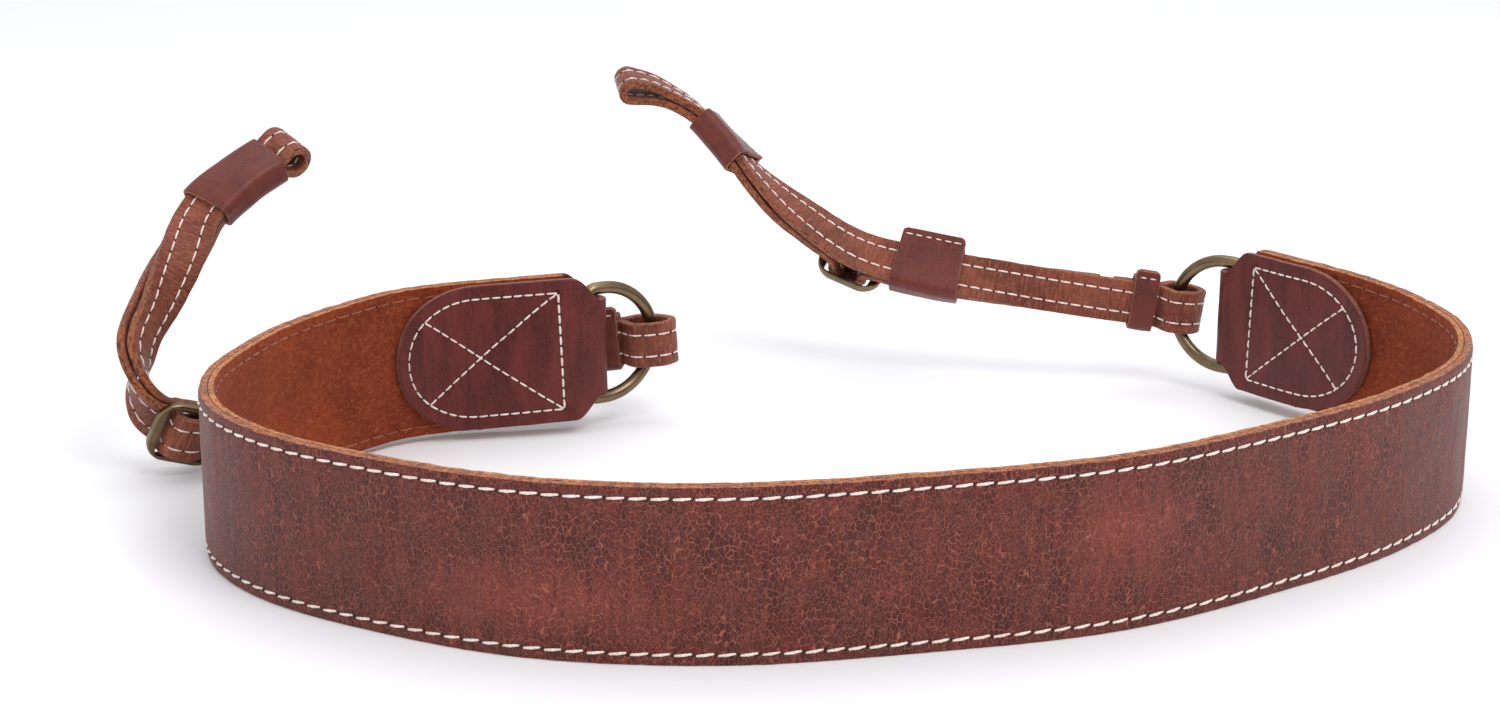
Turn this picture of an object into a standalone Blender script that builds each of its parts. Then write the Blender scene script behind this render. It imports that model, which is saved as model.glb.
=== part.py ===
"""A leather camera neck strap, lying as it is put down on a table.

The wide band stands on its lower edge in an open C. Each of its ends carries a leather tab that is
folded round a D ring. A narrow strap loops through each ring, runs to a loop for a lug, comes back
through a three bar slider and ends under a keeper.

Every leather piece is laid out in the space of the run that it follows: s along the run, n through its
thickness and w across its width. A run is a smooth line through the rows of a short table.
"""

import math

import bmesh
import bpy
import numpy as np

MM = 0.001
UP = np.array((0.0, 0.0, 1.0))
FRONT = np.array((0.0, -1.0, 0.0))

# Leather, millimetres
BAND_WIDTH = 38.0
FACE_LEATHER = 2.0
LINING_LEATHER = 1.6
TAB_WIDTH = 37.0
TAB_LEATHER = 1.9
STRAP_WIDTH = 11.5
STRAP_LEATHER = 2.2
KEEPER_LEATHER = 1.1
GAP = 0.3

# Tabs: a straight stretch and a round lobe over the band, a neck where they fold round the ring.
# The shoulder is where the full width starts and ends its way down to the neck, outwards of the band
TAB_STRAIGHT = {"left": 23.0, "right": 19.0}
TAB_LOBE = 21.5
TAB_NECK = 24.4
TAB_SHOULDER = (1.0, 8.5)
TAB_FOLD = 10.8

# D rings
RING_INSIDE = 25.6
RING_WIRE = 3.2
RING_LEG = 5.0
RING_CORNER = 3.0

# Three bar sliders
SLIDER_HEIGHT = 16.4
SLIDER_RAIL = 1.5
SLIDER_SLOT = 5.4
SLIDER_BAR = 2.2
SLIDER_RIM = 2.8
SLIDER_THICK = 2.0
SLIDER_CORNER = 5.5
SLIDER_EDGE = 0.4
SLIDER_CLEAR = 1.3
SLOT_CORNER = 1.0

# Keepers: a sleeve whose seam stands up as a fin of two layers
FIN_HEIGHT = 2.4
KEEPER_CORNER = 1.1
KEEPER_FIT = 0.45
TAIL_KEEPER = 18.0

# Where the narrow strap's two ends stop, measured from the ring's wire
SHORT_END = 17.5
TAIL_END = 21.0

# How far from a keeper or a slider the returning layer starts to stand off
SLACK_CLEAR = 1.5

# Edges meeting at more than this many degrees are shaded sharp
SHARP = 35.0

# The point under the middle of the plan, which becomes the origin
ORIGIN = (9.1, -5.8, -0.09)

# The band's lower edge, from the left ring round the front to the right ring.
# Columns: place, x, y, height of the edge, lean of the wall outwards in degrees
BAND_ROWS = (
    ("left ring", -25.3, 41.4, 3.2, 0.0),
    ("left bar", -41.5, 30.7, 3.2, 1.0),
    ("left end", -46.4, 28.5, 3.2, 2.0),
    ("", -59.0, 25.7, 2.7, 3.0),
    ("", -69.0, 23.9, 2.3, 3.0),
    ("", -79.0, 21.3, 2.0, 2.0),
    ("", -88.7, 17.0, 1.7, 1.0),
    ("", -103.3, 1.5, 1.2, 0.0),
    ("", -111.4, -11.0, 0.8, 0.0),
    ("", -117.6, -27.0, 0.4, 0.0),
    ("", -121.8, -48.0, 0.0, 0.0),
    ("", -117.5, -71.0, 0.0, 0.0),
    ("", -103.5, -91.0, 0.0, 0.0),
    ("", -80.0, -108.0, 0.0, 0.0),
    ("", -46.0, -123.7, 0.0, 0.0),
    ("", -6.0, -128.2, 0.0, 0.0),
    ("", 35.0, -121.3, 0.0, 0.0),
    ("", 77.0, -109.0, 0.0, 0.0),
    ("", 114.0, -86.0, 0.0, 0.0),
    ("", 144.5, -61.0, 0.0, 0.0),
    ("", 163.6, -35.0, 0.0, 0.0),
    ("", 169.2, -11.0, 1.0, 0.0),
    ("", 163.8, 12.0, 2.0, 0.0),
    ("", 151.5, 31.0, 3.0, 1.0),
    ("", 139.6, 45.5, 3.0, 2.0),
    ("right end", 132.4, 55.2, 3.0, 2.0),
    ("right bar", 129.4, 58.6, 3.0, 1.0),
    ("right ring", 114.0, 70.4, 3.0, 0.0),
)

# The narrow straps, from the D ring's wire to the lug's loop, at the middle of their width.
# Columns: place, x, y, z, turn of the width from facing the front in degrees: at 90 it stands upright
LEFT_ROWS = (
    ("ring", -25.2, 41.4, 20.6, 90.0),
    ("ring keeper", -36.5, 43.2, 19.8, 90.0),
    ("", -60.0, 40.5, 16.5, 90.0),
    ("", -85.0, 31.0, 12.5, 90.0),
    ("tail keeper", -109.0, 17.0, 9.2, 88.0),
    ("", -124.0, 6.2, 8.4, 86.0),
    ("slider", -138.4, -2.8, 11.8, 80.0),
    ("", -144.4, -5.6, 15.0, 72.0),
    ("", -147.0, -6.4, 20.0, 40.0),
    ("", -148.2, -5.4, 26.2, 4.0),
    ("", -148.2, -2.2, 32.6, -26.0),
    ("", -144.2, 5.5, 41.4, -50.0),
    ("", -139.6, 13.8, 50.8, -86.0),
    ("", -135.2, 22.0, 59.4, -124.0),
    ("lug keeper", -128.0, 28.6, 65.2, -143.0),
    ("", -120.6, 34.3, 69.6, -145.0),
    ("lug", -115.0, 38.8, 72.0, -146.0),
)

RIGHT_ROWS = (
    ("ring", 114.0, 70.2, 21.8, 87.0),
    ("ring keeper", 105.8, 70.8, 22.9, 87.0),
    ("", 93.9, 71.5, 24.4, 92.0),
    ("", 75.3, 74.5, 26.3, 105.0),
    ("tail keeper", 48.1, 79.5, 29.6, 123.0),
    ("slider", 28.8, 85.0, 33.5, 134.0),
    ("", 13.7, 92.0, 41.7, 148.0),
    ("", 2.7, 98.5, 49.8, 170.0),
    ("lug keeper", -7.6, 106.0, 59.6, 186.0),
    ("", -16.2, 110.3, 67.6, 184.0),
    ("", -26.0, 110.5, 73.0, 176.0),
    ("lug", -35.6, 108.4, 75.2, 168.0),
)

# How each narrow strap is fitted. facing: on which side of the run it goes out to the lug;
# ring_fold, ring_opening: how far its loop reaches behind the wire and half the loop's height;
# ring_close: from where to where that loop closes; ring_keeper: from and to; lug_keeper: its length;
# lug_opening: half the lug loop's height; lug_close: how long that loop takes to close;
# slack: how far the returning layer stands off
STRAPS = {
    "left": {"rows": LEFT_ROWS, "facing": 1, "ring_fold": 5.4, "ring_opening": 4.8,
             "ring_close": (3.2, 8.2), "ring_keeper": (8.5, 16.0), "lug_keeper": 21.0,
             "lug_opening": 3.4, "lug_close": 5.0, "slack": 0.8},
    "right": {"rows": RIGHT_ROWS, "facing": -1, "ring_fold": 6.3, "ring_opening": 4.6,
              "ring_close": (0.8, 5.2), "ring_keeper": (5.6, 12.1), "lug_keeper": 17.0,
              "lug_opening": 2.4, "lug_close": 14.0, "slack": 0.4},
}


def linear(hex_colour):
    """Turn an sRGB hex colour into linear red, green, blue and alpha."""
    parts = [int(hex_colour[i:i + 2], 16) / 255 for i in (1, 3, 5)]
    return [p / 12.92 if p <= 0.04045 else ((p + 0.055) / 1.055) ** 2.4 for p in parts] + [1.0]


def material(name, colour, roughness, metallic=0.0):
    made = bpy.data.materials.new(name)
    made.use_nodes = True
    shader = made.node_tree.nodes["Principled BSDF"]
    shader.inputs["Base Color"].default_value = linear(colour)
    shader.inputs["Roughness"].default_value = roughness
    shader.inputs["Metallic"].default_value = metallic
    made.diffuse_color = linear(colour)
    return made


def unit(vectors):
    return vectors / np.linalg.norm(vectors, axis=-1, keepdims=True)


class Run:
    """A smooth line through a table's rows, with the directions along, through and across it."""

    STEP = 0.5
    SOFTEN = 4

    def __init__(self, rows, facing, rise=0.0):
        """Follow the rows' x, y, z; their turn is the width's, about the run, from facing.

        rise moves the line along the turned width.
        """
        knots = np.array([row[1:] for row in rows]) - np.array((*ORIGIN, 0.0))
        knots = np.vstack((2 * knots[0] - knots[1], knots, 2 * knots[-1] - knots[-2]))
        spans = [self._span(*knots[i:i + 4]) for i in range(len(rows) - 1)]
        marks = np.cumsum([0] + [len(span) for span in spans])
        line = np.vstack(spans + [knots[-2:-1]])
        points, turns = line[:, :3], self._soften(line[:, 3])
        self.length = np.concatenate(((0.0,), np.cumsum(np.linalg.norm(np.diff(points, axis=0), axis=1))))
        self.places = {row[0]: self.length[mark] for row, mark in zip(rows, marks) if row[0]}
        self.ahead = unit(self._soften(unit(np.gradient(points, self.length, axis=0))))
        unturned = unit(facing - self.ahead * (self.ahead @ facing)[:, None])
        angle = np.radians(turns)[:, None]
        self.width = unturned * np.cos(angle) + np.cross(self.ahead, unturned) * np.sin(angle)
        self.points = points + self.width * rise

    def _span(self, before, start, end, after):
        """Sample one arc of a centripetal Catmull-Rom line."""
        first, middle, last = (np.linalg.norm((b - a)[:3]) ** 0.5
                               for a, b in ((before, start), (start, end), (end, after)))
        leave = (start - before) / first - (end - before) / (first + middle) + (end - start) / middle
        arrive = (end - start) / middle - (after - start) / (middle + last) + (after - end) / last
        t = np.linspace(0, 1, max(3, round(middle**2 / self.STEP)), endpoint=False)[:, None]
        return (start * (2 * t**3 - 3 * t**2 + 1) + leave * middle * (t**3 - 2 * t**2 + t)
                + end * (3 * t**2 - 2 * t**3) + arrive * middle * (t**3 - t**2))

    def _soften(self, values):
        """Average neighbouring samples, so that the rows' corners don't show."""
        ends = values[:1].repeat(self.SOFTEN, 0), values[-1:].repeat(self.SOFTEN, 0)
        padded = np.concatenate((ends[0], values, ends[1]))
        width = 2 * self.SOFTEN + 1
        return sum(padded[i:i + len(values)] for i in range(width)) / width

    def frame(self, s):
        """Return the middle point at s and the unit directions along, through and across the leather."""
        point, ahead, width = (np.array([np.interp(s, self.length, column) for column in table.T])
                               for table in (self.points, self.ahead, self.width))
        point += unit(ahead) * (s - min(max(s, 0.0), self.length[-1]))
        return point, unit(ahead), unit(np.cross(ahead, width)), unit(width)

    def at(self, s, n, w):
        """Return the point at s along, n through and w across."""
        point, _, through, width = self.frame(s)
        return point + through * n + width * w


def add_part(name, mesh, skin):
    """Add a finished mesh to the strap, smooth but for its sharp edges."""
    shape = bmesh.new()
    shape.from_mesh(mesh)
    bmesh.ops.recalc_face_normals(shape, faces=shape.faces)
    shape.to_mesh(mesh)
    shape.free()
    mesh.shade_smooth()
    mesh.set_sharp_from_angle(angle=math.radians(SHARP))
    mesh.materials.append(skin)
    part = bpy.data.objects.new(name, mesh)
    STRAP.objects.link(part)
    return part


def add_strip(name, run, profile, half_widths, leather, skin, columns=1):
    """Bend a flat strip of leather along the profile, a list of (s, n) of its middle surface."""
    rows = len(profile) - 1
    shape = bmesh.new()
    bmesh.ops.create_grid(shape, x_segments=rows, y_segments=columns, size=1.0)
    for vertex in shape.verts:
        row = round((vertex.co.x + 1) / 2 * rows)
        s, n = profile[row]
        vertex.co = run.at(s, n, vertex.co.y * half_widths[row]) * MM
    mesh = bpy.data.meshes.new(name)
    shape.to_mesh(mesh)
    shape.free()
    part = add_part(name, mesh, skin)
    thick = part.modifiers.new("Leather", "SOLIDIFY")
    thick.thickness = leather * MM
    thick.offset = 0.0
    thick.use_even_offset = True


def curve_mesh(name, curve, outlines):
    """Draw closed outlines on a curve and return its welded mesh."""
    for outline in outlines:
        spline = curve.splines.new("POLY")
        spline.points.add(len(outline) - 1)
        spline.use_cyclic_u = True
        for knot, (x, y) in zip(spline.points, outline):
            knot.co = (x * MM, y * MM, 0.0, 1.0)
    drawn = bpy.data.objects.new(name, curve)
    STRAP.objects.link(drawn)
    mesh = bpy.data.meshes.new_from_object(drawn.evaluated_get(bpy.context.evaluated_depsgraph_get()))
    mesh.name = name
    bpy.data.objects.remove(drawn)
    bpy.data.curves.remove(curve)
    return mesh


def map_mesh(mesh, place, slices=0, depth=0.0):
    """Weld a mesh, slice it along its depth and put each of its points where place says."""
    shape = bmesh.new()
    shape.from_mesh(mesh)
    bmesh.ops.remove_doubles(shape, verts=shape.verts, dist=0.00001)
    for cut in range(1, slices):
        everything = [*shape.verts, *shape.edges, *shape.faces]
        height = (cut / slices - 0.5) * depth * MM
        bmesh.ops.bisect_plane(shape, geom=everything, plane_co=(0, 0, height), plane_no=(0, 0, 1))
    for vertex in shape.verts:
        vertex.co = place(*(vertex.co / MM)) * MM
    shape.to_mesh(mesh)
    shape.free()


def add_plate(name, outlines, thickness, edge, place, skin, slices=0):
    """Cut a plate with holes from flat outlines, its edges broken, and put it where place says."""
    sheet = bpy.data.curves.new(name, "CURVE")
    sheet.dimensions = "2D"
    sheet.fill_mode = "BOTH"
    sheet.extrude = (thickness / 2 - edge) * MM
    sheet.bevel_depth = edge * MM
    sheet.bevel_resolution = 0
    sheet.offset = -edge * MM
    mesh = curve_mesh(name, sheet, outlines)
    map_mesh(mesh, place, slices, thickness)
    add_part(name, mesh, skin)


def add_wire(name, centreline, thickness, place, skin):
    """Bend a closed ring of round wire along a flat centreline and put it where place says."""
    wire = bpy.data.curves.new(name, "CURVE")
    wire.dimensions = "3D"
    wire.bevel_depth = thickness / 2 * MM
    wire.bevel_resolution = 3
    mesh = curve_mesh(name, wire, [centreline])
    map_mesh(mesh, place)
    add_part(name, mesh, skin)


def arc(centre, radii, start, end, steps):
    """Points on an ellipse from one angle to another, in degrees."""
    angles = np.radians(np.linspace(start, end, steps + 1))
    return [(centre[0] + radii[0] * math.cos(a), centre[1] + radii[1] * math.sin(a)) for a in angles]


def rounded_box(half_x, half_y, corner, steps, middle_x=0.0):
    """The outline of a rectangle with round corners."""
    outline = []
    for quarter, (sign_x, sign_y) in enumerate(((1, 1), (-1, 1), (-1, -1), (1, -1))):
        centre = (middle_x + sign_x * (half_x - corner), sign_y * (half_y - corner))
        outline += arc(centre, (corner, corner), 90 * quarter, 90 * quarter + 90, steps)
    return outline


def level(start, end, n, spacing=3.0):
    """Points of a level stretch, without the last one."""
    steps = max(1, round(abs(end - start) / spacing))
    return [(start + (end - start) * i / steps, n) for i in range(steps)]


def smooth(t):
    return t * t * (3 - 2 * t)


def ease(start, end, n_start, n_end, steps=5):
    """Points of a slope that leaves and arrives level, without the last one."""
    return [(start + (end - start) * i / steps, n_start + (n_end - n_start) * smooth(i / steps))
            for i in range(steps)]


def make_band(run):
    """The two layers of the wide band, from one end to the other."""
    start, end = run.places["left end"], run.places["right end"]
    face_middle = (GAP + FACE_LEATHER) / 2
    lining_middle = -(GAP + LINING_LEATHER) / 2
    for name, middle, leather, skin in (("band_outer", face_middle, FACE_LEATHER, GRAIN),
                                        ("band_lining", lining_middle, LINING_LEATHER, SUEDE)):
        profile = level(start, end, middle, 4.0) + [(end, middle)]
        add_strip(name, run, profile, [BAND_WIDTH / 2] * len(profile), leather, skin)


def tab_half_width(u, straight):
    """Half the tab's width at u outwards from the band's end."""
    full, neck = TAB_WIDTH / 2, TAB_NECK / 2
    if u < -straight:
        return full * math.sqrt(1 - ((u + straight) / TAB_LOBE) ** 2)
    start, end = TAB_SHOULDER
    return full + (neck - full) * smooth(min(max((u - start) / (end - start), 0.0), 1.0))


def make_tab(side, outwards, run):
    """One leather tab: a lobe on the lining, a fold through the ring, a lobe on the face."""
    end = run.places[side + " end"]
    inner = -(1.5 * GAP + LINING_LEATHER + TAB_LEATHER / 2)
    outer = 1.5 * GAP + FACE_LEATHER + TAB_LEATHER / 2
    radius = (outer - inner) / 2
    bend = TAB_FOLD - radius - TAB_LEATHER / 2
    straight = TAB_STRAIGHT[side]
    lobe = [u for u, _ in arc((-straight, 0), (TAB_LOBE, 1), 175, 90, 10)[:-1]]
    lobe += [u for u, _ in level(-straight, TAB_SHOULDER[0], 0, 4.0)]
    lobe += [u for u, _ in level(TAB_SHOULDER[0], bend, 0, 1.4)]
    fold = arc((bend, (inner + outer) / 2), (radius, radius), -90, 90, 8)
    profile = [(u, inner) for u in lobe] + fold + [(u, outer) for u in reversed(lobe)]
    half_widths = [tab_half_width(u, straight) for u, _ in profile]
    placed = [(end + outwards * u, n) for u, n in profile]
    add_strip("end_tab_" + side, run, placed, half_widths, TAB_LEATHER, TAB, columns=4)


def make_ring(side, run):
    """One D ring, flat and rigid, with its straight bar in the tab's fold."""
    bar, _, outer_side, width = run.frame(run.places[side + " bar"])
    bar = bar + outer_side * (FACE_LEATHER - LINING_LEATHER) / 2
    far = run.frame(run.places[side + " ring"])[0]
    out = unit((far - bar) - width * np.dot(far - bar, width))
    through = np.cross(out, width)
    half = (RING_INSIDE + RING_WIRE) / 2
    centreline = arc((RING_LEG, 0), (half, half), -90, 90, 18)
    for sign in (1, -1):
        corner = (RING_CORNER, sign * (half - RING_CORNER))
        start = 90 if sign > 0 else 180
        centreline += arc(corner, (RING_CORNER, RING_CORNER), start, start + 90, 4)
    add_wire("ring_" + side, centreline, RING_WIRE,
             lambda x, y, z: bar + out * x + width * y + through * z, BRASS)


def slider_weave(middle):
    """The returning layer's way over the slider's middle bar, in (s, n) towards the ring."""
    low = -(STRAP_LEATHER + GAP) / 2
    high = low - STRAP_LEATHER - SLIDER_THICK - SLIDER_CLEAR - GAP
    near, far = SLIDER_BAR / 2, SLIDER_BAR / 2 + SLIDER_SLOT
    turn = 2 * math.atan((low - high) / SLIDER_SLOT)
    radius = SLIDER_SLOT / (2 * math.sin(turn))
    swing = math.degrees(turn)
    up = arc((far, low - radius), (radius, radius), 90, 90 + swing, 5)[:-1]
    up += arc((near, high + radius), (radius, radius), swing - 90, -90, 5)
    down = [(-s, n) for s, n in reversed(up)]
    return [(middle + s, n) for s, n in up + down]


def strap_profile(run, fit):
    """The narrow strap's middle surface in (s, n), from its short end to its free end."""
    pitch = (STRAP_LEATHER + GAP) / 2
    lug, slack = run.places["lug"], fit["slack"]
    ring_opening, lug_opening = fit["ring_opening"], fit["lug_opening"]
    opened, pinched = fit["ring_close"]
    profile = level(SHORT_END, pinched, -pitch)
    profile += ease(pinched, opened, -pitch, -ring_opening)
    profile += arc((opened, 0), (opened + fit["ring_fold"], ring_opening), -90, -270, 14)[:-1]
    profile += ease(opened, pinched, ring_opening, pitch)
    loop = lug - lug_opening
    closed = loop - fit["lug_close"]
    profile += level(pinched, closed, pitch)
    profile += ease(closed, loop, pitch, lug_opening)
    profile += arc((loop, 0), (lug_opening, lug_opening), 90, -90, 12)[:-1]
    profile += ease(loop, closed, -lug_opening, -pitch)
    weave = slider_weave(run.places["slider"])
    slack_start = run.places["lug keeper"] - fit["lug_keeper"] / 2 - SLACK_CLEAR
    slack_end = weave[0][0] + SLIDER_RIM + SLACK_CLEAR
    slack_middle = (slack_start + slack_end) / 2
    profile += level(closed, slack_start, -pitch)
    profile += ease(slack_start, slack_middle, -pitch, -pitch - slack)
    profile += ease(slack_middle, slack_end, -pitch - slack, -pitch)
    profile += level(slack_end, weave[0][0], -pitch)
    profile += weave
    profile += level(weave[-1][0], TAIL_END, -pitch)[1:] + [(TAIL_END, -pitch)]
    return [(s, n * fit["facing"]) for s, n in profile]


def make_slider(side, run, fit):
    """One three bar slider, on the returning layer's side of the strap."""
    half_length = SLIDER_BAR / 2 + SLIDER_SLOT + SLIDER_RIM
    half_slot = SLIDER_SLOT / 2
    slot_middle = SLIDER_BAR / 2 + half_slot
    outlines = [rounded_box(half_length, SLIDER_HEIGHT / 2, SLIDER_CORNER, 5)]
    for middle in (slot_middle, -slot_middle):
        outlines.append(rounded_box(half_slot, SLIDER_HEIGHT / 2 - SLIDER_RAIL, SLOT_CORNER, 2, middle))
    height = -fit["facing"] * (STRAP_LEATHER + GAP / 2 + SLIDER_CLEAR + SLIDER_THICK / 2)
    middle, ahead, through, width = run.frame(run.places["slider"])
    add_plate("slider_" + side, outlines, SLIDER_THICK, SLIDER_EDGE,
              lambda x, y, z: middle + ahead * x + width * y + through * (height + z), BRASS)


def make_keeper(name, run, start, end, fin_behind=False):
    """One keeper round both layers of the strap, its stitched seam standing out as a fin.

    The fin stands up from the upper edge, or off the back behind that edge.
    """
    inner_w = STRAP_WIDTH / 2 + KEEPER_FIT
    inner_n = STRAP_LEATHER + GAP / 2 + KEEPER_FIT
    outer_w, outer_n = inner_w + KEEPER_LEATHER, inner_n + KEEPER_LEATHER
    corner = (KEEPER_CORNER, KEEPER_CORNER)
    fin_n, fin_w = outer_n - 2 * KEEPER_LEATHER, outer_w - 2 * KEEPER_LEATHER
    if fin_behind:
        outer = [(outer_w, outer_n + FIN_HEIGHT), (fin_w, outer_n + FIN_HEIGHT), (fin_w, outer_n)]
    else:
        outer = [(outer_w, fin_n), (outer_w + FIN_HEIGHT, fin_n), (outer_w + FIN_HEIGHT, outer_n)]
    outer += arc((KEEPER_CORNER - outer_w, outer_n - KEEPER_CORNER), corner, 90, 180, 3)
    outer += arc((KEEPER_CORNER - outer_w, KEEPER_CORNER - outer_n), corner, 180, 270, 3)
    outer += arc((outer_w - KEEPER_CORNER, KEEPER_CORNER - outer_n), corner, 270, 360, 3)
    hole = rounded_box(inner_w, inner_n, GAP, 2)
    length = end - start
    add_plate(name, (outer, hole), length, 0.0,
              lambda x, y, z: run.at((start + end) / 2 + z, -y, x), KEEPER,
              slices=round(length / 3.0))


def make_strap(side, fit):
    """One narrow strap with its slider and its three keepers."""
    run = Run(fit["rows"], FRONT)
    profile = strap_profile(run, fit)
    add_strip("lug_strap_" + side, run, profile, [STRAP_WIDTH / 2] * len(profile), STRAP_LEATHER, THIN)
    make_slider(side, run, fit)
    tail, lug = run.places["tail keeper"], run.places["lug keeper"]
    make_keeper("ring_keeper_" + side, run, *fit["ring_keeper"])
    make_keeper("tail_keeper_" + side, run, tail - TAIL_KEEPER / 2, tail + TAIL_KEEPER / 2)
    make_keeper("lug_keeper_" + side, run, lug - fit["lug_keeper"] / 2, lug + fit["lug_keeper"] / 2,
                fin_behind=side == "left")


for leftover in list(bpy.data.objects):
    bpy.data.objects.remove(leftover)

STRAP = bpy.data.collections.new("camera neck strap")
bpy.context.scene.collection.children.link(STRAP)

GRAIN = material("Waxed grain leather", "#77504b", 0.55)
SUEDE = material("Suede lining leather", "#6f3220", 0.95)
TAB = material("Maroon tab leather", "#5b2f30", 0.5)
THIN = material("Strap leather", "#7d4a3a", 0.55)
KEEPER = material("Keeper leather", "#6d4033", 0.5)
BRASS = material("Antique brass", "#8a7a55", 0.35, 1.0)

band = Run(BAND_ROWS, UP, BAND_WIDTH / 2)
make_band(band)
for side_name, outward in (("left", -1), ("right", 1)):
    make_tab(side_name, outward, band)
    make_ring(side_name, band)
for side_name, fitting in STRAPS.items():
    make_strap(side_name, fitting)
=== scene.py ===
"""The looks of a leather camera neck strap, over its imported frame.

Each leather piece is cut flat, with its thickness and its broken edges. It keeps its flat coordinates in
the attribute "flat" (along, across, up from the middle), has its seams pressed in, and is bent along the
run that it lies on. Grain and dye read "flat", so they follow every bend, and so do the stitches.
"""

import math
from collections import namedtuple

import bpy
import numpy as np
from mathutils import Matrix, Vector, noise


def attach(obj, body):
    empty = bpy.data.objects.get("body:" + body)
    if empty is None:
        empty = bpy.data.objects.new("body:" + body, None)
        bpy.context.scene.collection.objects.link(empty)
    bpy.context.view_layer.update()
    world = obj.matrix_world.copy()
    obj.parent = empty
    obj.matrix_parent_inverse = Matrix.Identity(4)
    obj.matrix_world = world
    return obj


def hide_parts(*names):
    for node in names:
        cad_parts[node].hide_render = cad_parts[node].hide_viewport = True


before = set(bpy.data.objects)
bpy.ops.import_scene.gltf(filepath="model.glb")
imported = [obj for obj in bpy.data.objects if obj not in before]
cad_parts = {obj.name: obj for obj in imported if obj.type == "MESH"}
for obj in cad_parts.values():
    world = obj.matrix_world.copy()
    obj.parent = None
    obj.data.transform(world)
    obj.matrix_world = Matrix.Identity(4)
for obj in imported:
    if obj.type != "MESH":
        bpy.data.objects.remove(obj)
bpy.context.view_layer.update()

MM = 0.001
UP = np.array((0.0, 0.0, 1.0))
FRONT = np.array((0.0, -1.0, 0.0))

# Where the photograph was taken from, in millimetres, its pitch in degrees, its lens and frame width
VIEW_FROM = (-9.1, -659.2, 217.8)
VIEW_PITCH = 16.0
VIEW_LENS = 68.1
VIEW_SENSOR = 36.0

# Leather, millimetres
BAND_WIDTH = 38.0
FACE_LEATHER = 2.0
LINING_LEATHER = 1.6
TAB_WIDTH = 37.0
TAB_LEATHER = 1.9
STRAP_WIDTH = 11.5
STRAP_LEATHER = 2.2
KEEPER_LEATHER = 1.1
GAP = 0.3

# How wide each leather's broken edge is
BAND_BREAK = 0.18
TAB_BREAK = 0.4
STRAP_BREAK = 0.45
KEEPER_BREAK = 0.25

# How finely each flat piece is divided: how long its rows are, and its columns or their width
BAND_ROW = 1.0
FACE_COLUMNS = 46
LINING_COLUMNS = 30
TAB_SLICE = 1.0
STRAP_ROW = 0.7
STRAP_COLUMNS = 14
KEEPER_ROW = 0.6
KEEPER_COLUMN = 0.8

# How uneven the leather is: how far it wanders, in patches of what size, and the patches' seed
BAND_RIM_UNEVEN = (0.16, 2.6, 1)
FACE_UNEVEN = (0.1, 3.4, 2)
TAB_UNEVEN = (0.12, 6.0, 3)
STRAP_RIM_UNEVEN = (0.12, 2.6, 4)
STRAP_UNEVEN = (0.06, 2.4, 5)
KEEPER_UNEVEN = (0.08, 5.0, 6)

# How far in from a cut edge it is uneven, and how far the band's outer rims are pressed together
BAND_RIM = 0.8
STRAP_RIM = 1.2
RIM_PRESS = 0.34

# Tabs
TAB_STRAIGHT = {"left": 23.0, "right": 19.0}
TAB_LOBE = 21.5
TAB_NECK = 24.4
TAB_SHOULDER = (1.0, 8.5)
TAB_FOLD = 10.8

# D rings
RING_INSIDE = 25.6
RING_WIRE = 3.2
RING_LEG = 5.0
RING_CORNER = 3.0

# Three bar sliders
SLIDER_HEIGHT = 16.4
SLIDER_RAIL = 1.5
SLIDER_SLOT = 5.4
SLIDER_BAR = 2.2
SLIDER_RIM = 2.8
SLIDER_THICK = 2.0
SLIDER_CORNER = 5.5
SLOT_CORNER = 1.0
SLIDER_EDGE = 0.5
SLIDER_CLEAR = 1.3

# Keepers
FIN_HEIGHT = 2.4
KEEPER_CORNER = 1.9
KEEPER_FIT = 0.45
KEEPER_END_CORNER = 1.2
KEEPER_CROWN = 0.12
TAIL_KEEPER = 18.0

# Where the narrow strap's two ends stop, measured from the ring's wire
SHORT_END = 17.5
TAIL_END = 21.0
SLACK_CLEAR = 1.5

# Sewing: each seam's pitch, and how far it stands in from the edge or the end
BAND_PITCH = 4.4
BAND_SEAM = 2.4
TAB_PITCH = 2.7
TAB_SEAM = 3.4
TAB_END_SEAM = 1.6
STRAP_PITCH = 3.4
STRAP_SEAM = 2.9
KEEPER_PITCH = 2.6
KEEPER_SEAM = 0.8
STRIP_END = 0.5

# Where the tab's cross ends, as a share of its seams' lobe, and the keeper's seam, as a share of its fin
CROSS_REACH = 0.72
FIN_SEAM = 0.62

# Threads, how much of the pitch they show, and how a stitch stands at its middle and dives at its
# ends, in radii; the slants of the band's upper and lower stitches in degrees
THREAD = 0.68
FINE_THREAD = 0.5
THIN_THREAD = 0.42
THREAD_SHOWN = 0.86
STITCH_RISE = 0.75
STITCH_DIVE = 1.25
BAND_SLANTS = (4.0, 7.0)

# The painted shade of an awl's slit: half its length, width and height in threads, its turn from the row in
# degrees, and its height
SLIT_SHAPE = (0.95, 0.3, 0.25)
SLIT_TURN = 58.0
SLIT_LIFT = 0.1

# How deep the seams are pressed in, how far to each side, and how deep their thread lies
SEAM_PRESS = 0.28
TAB_PRESS = 0.34
STRAP_PRESS = 0.2
SEAM_REACH = 0.9
TAB_SINK = 0.26
KEEPER_SINK = 0.05

# The point under the middle of the plan, which becomes the origin
ORIGIN = (9.1, -5.8, -0.09)

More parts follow.
